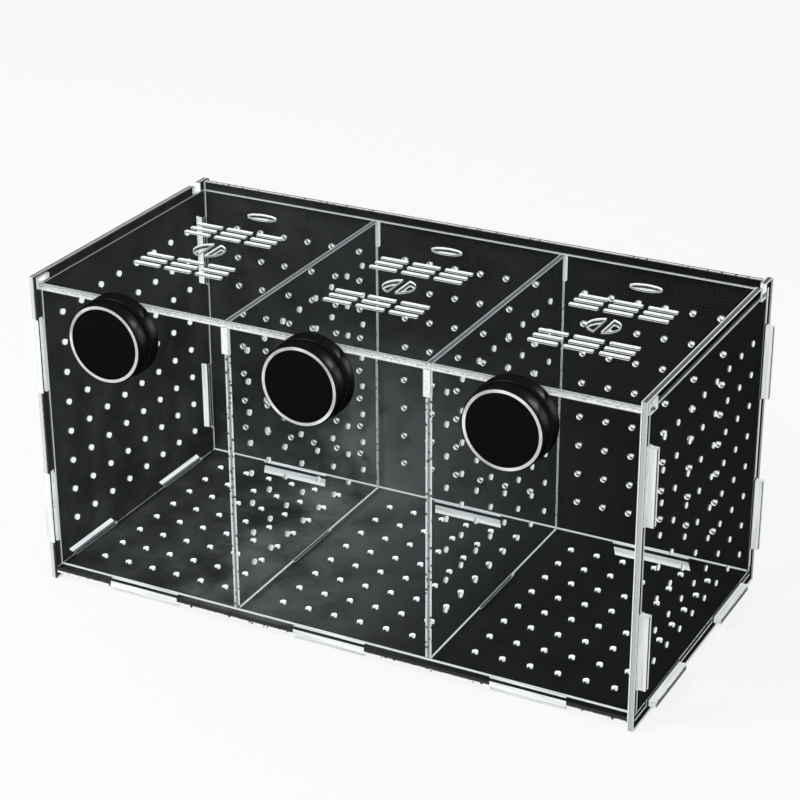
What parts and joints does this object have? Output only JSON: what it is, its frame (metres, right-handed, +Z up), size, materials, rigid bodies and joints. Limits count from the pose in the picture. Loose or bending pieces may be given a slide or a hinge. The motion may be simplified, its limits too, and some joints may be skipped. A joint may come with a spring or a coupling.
{
  "type": "fish breeding box",
  "caption": "Clear fish breeding box of interlocking laser-cut sheet with drilled walls, dividers, a vented flip-up lid and round magnets that clamp it to tank glass.",
  "frame": {"origin": "centre of the bounding box at the plane the box stands on", "axes": "+Z up, +X along the row of compartments, -Y towards the front panel and its magnets"},
  "size_m": [0.307, 0.1624, 0.155],
  "materials": {
    "clear_acrylic": "clear polished sheet with frosted cut edges",
    "black_plastic": "satin black moulding",
    "gloss_black_plastic": "gloss black",
    "bright_trim": "bright turned ring",
    "plated_magnet": "nickel plated",
    "black_rubber": "matt"
  },
  "bodies": {
    "box": {"base_plate": "clear_acrylic", "front_panel": "clear_acrylic", "back_panel": "clear_acrylic", "left_end_panel": "clear_acrylic", "right_end_panel": "clear_acrylic", "left_divider": "clear_acrylic", "right_divider": "clear_acrylic", "left_holder_cup": "black_plastic", "left_holder_core": "plated_magnet", "left_holder_pad": "black_rubber", "centre_holder_cup": "black_plastic", "centre_holder_core": "plated_magnet", "centre_holder_pad": "black_rubber", "right_holder_cup": "black_plastic", "right_holder_core": "plated_magnet", "right_holder_pad": "black_rubber"},
    "lid": {"lid_panel": "clear_acrylic"},
    "left_cap": {"left_cap_cup": "black_plastic", "left_cap_core": "plated_magnet", "left_cap_pad": "black_rubber", "left_trim_ring": "bright_trim", "left_face_disc": "gloss_black_plastic"},
    "centre_cap": {"centre_cap_cup": "black_plastic", "centre_cap_core": "plated_magnet", "centre_cap_pad": "black_rubber", "centre_trim_ring": "bright_trim", "centre_face_disc": "gloss_black_plastic"},
    "right_cap": {"right_cap_cup": "black_plastic", "right_cap_core": "plated_magnet", "right_cap_pad": "black_rubber", "right_trim_ring": "bright_trim", "right_face_disc": "gloss_black_plastic"}
  },
  "joints": [
    {"name": "lid_hinge", "type": "hinge", "parent": "box", "child": "lid", "pos_m": [0, -0.06475, 0.1515], "axis": [1, 0, 0], "range_deg": [0, 90]},
    {"name": "left_cap_pull", "type": "slide", "parent": "box", "child": "left_cap", "axis": [0, -1, 0], "range_m": [0, 0.03]},
    {"name": "centre_cap_pull", "type": "slide", "parent": "box", "child": "centre_cap", "axis": [0, -1, 0], "range_m": [0, 0.03]},
    {"name": "right_cap_pull", "type": "slide", "parent": "box", "child": "right_cap", "axis": [0, -1, 0], "range_m": [0, 0.03]}
  ]
}
